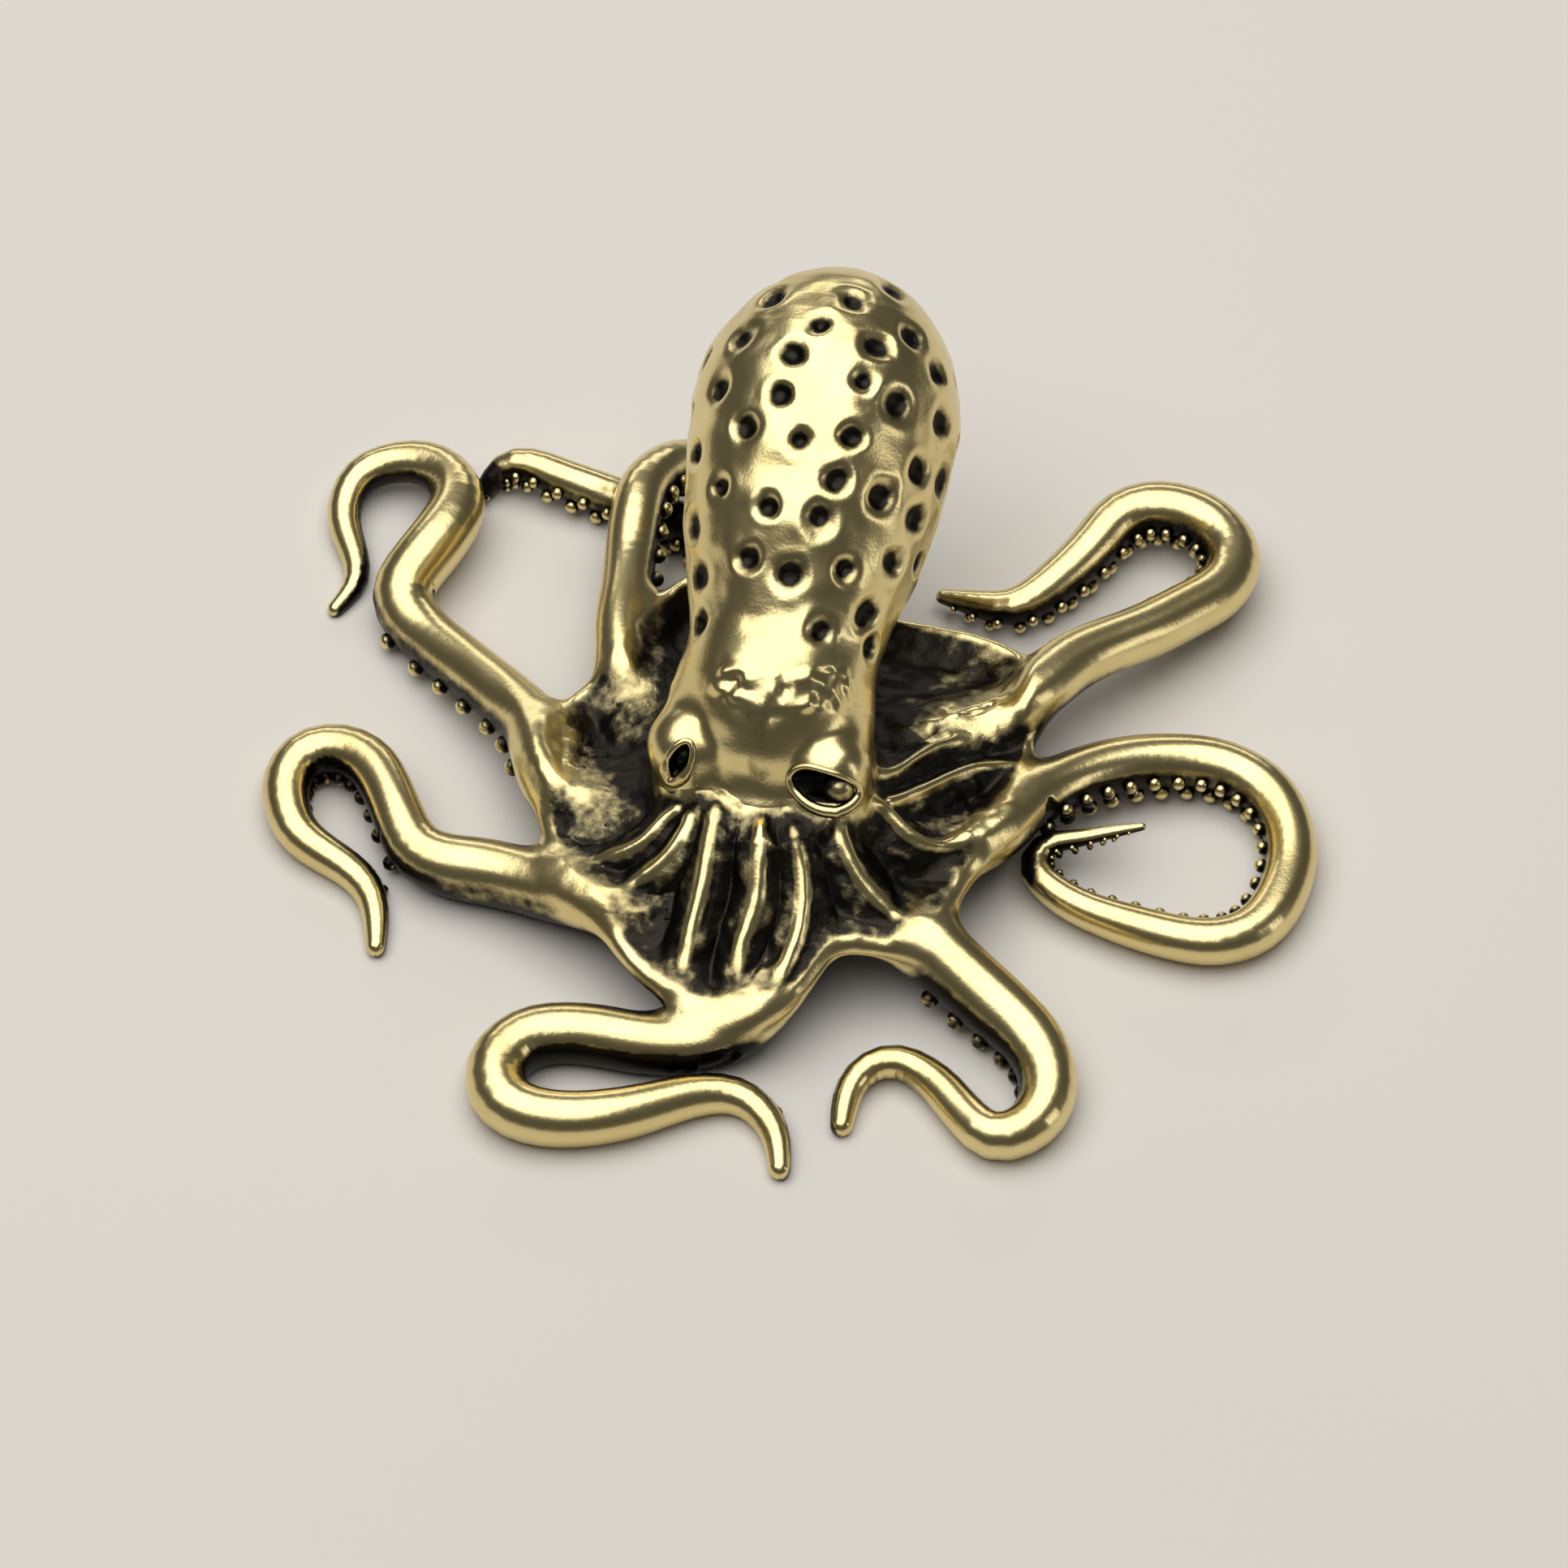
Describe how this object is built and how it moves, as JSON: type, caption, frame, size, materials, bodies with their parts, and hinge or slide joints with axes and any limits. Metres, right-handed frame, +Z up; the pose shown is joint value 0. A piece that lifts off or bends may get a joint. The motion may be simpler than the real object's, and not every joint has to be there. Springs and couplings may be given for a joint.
{
  "type": "octopus figurine",
  "caption": "Small free-standing brass octopus: dimpled mantle leaning back from a head with raised eyes, scalloped web, and curling arms with sucker beads on their inner sides.",
  "frame": {"origin": "middle of the bounding box's bottom face, on the surface that the figurine stands on", "axes": "+X to the viewer's right along the longest side, +Y away from the face, +Z up"},
  "size_m": [0.036, 0.0318, 0.0153],
  "materials": {
    "antique_brass": "antiqued, highs polished, recesses dark"
  },
  "bodies": {
    "root": {"mantle": "antique_brass", "head": "antique_brass", "web": "antique_brass", "arm_left_rear": "antique_brass", "arm_left_front": "antique_brass", "arm_front_left": "antique_brass", "arm_front_right": "antique_brass", "arm_right_front": "antique_brass", "arm_right_rear": "antique_brass", "arm_rear_left": "antique_brass", "arm_rear_right": "antique_brass", "suckers_left_rear": "antique_brass", "suckers_left_front": "antique_brass", "suckers_front_left": "antique_brass", "suckers_front_right": "antique_brass", "suckers_right_front": "antique_brass", "suckers_right_rear": "antique_brass", "suckers_rear_left": "antique_brass", "suckers_rear_right": "antique_brass", "eye_rim_left": "antique_brass", "eye_rim_right": "antique_brass", "eyeball_left": "antique_brass", "eyeball_right": "antique_brass"}
  },
  "joints": []
}
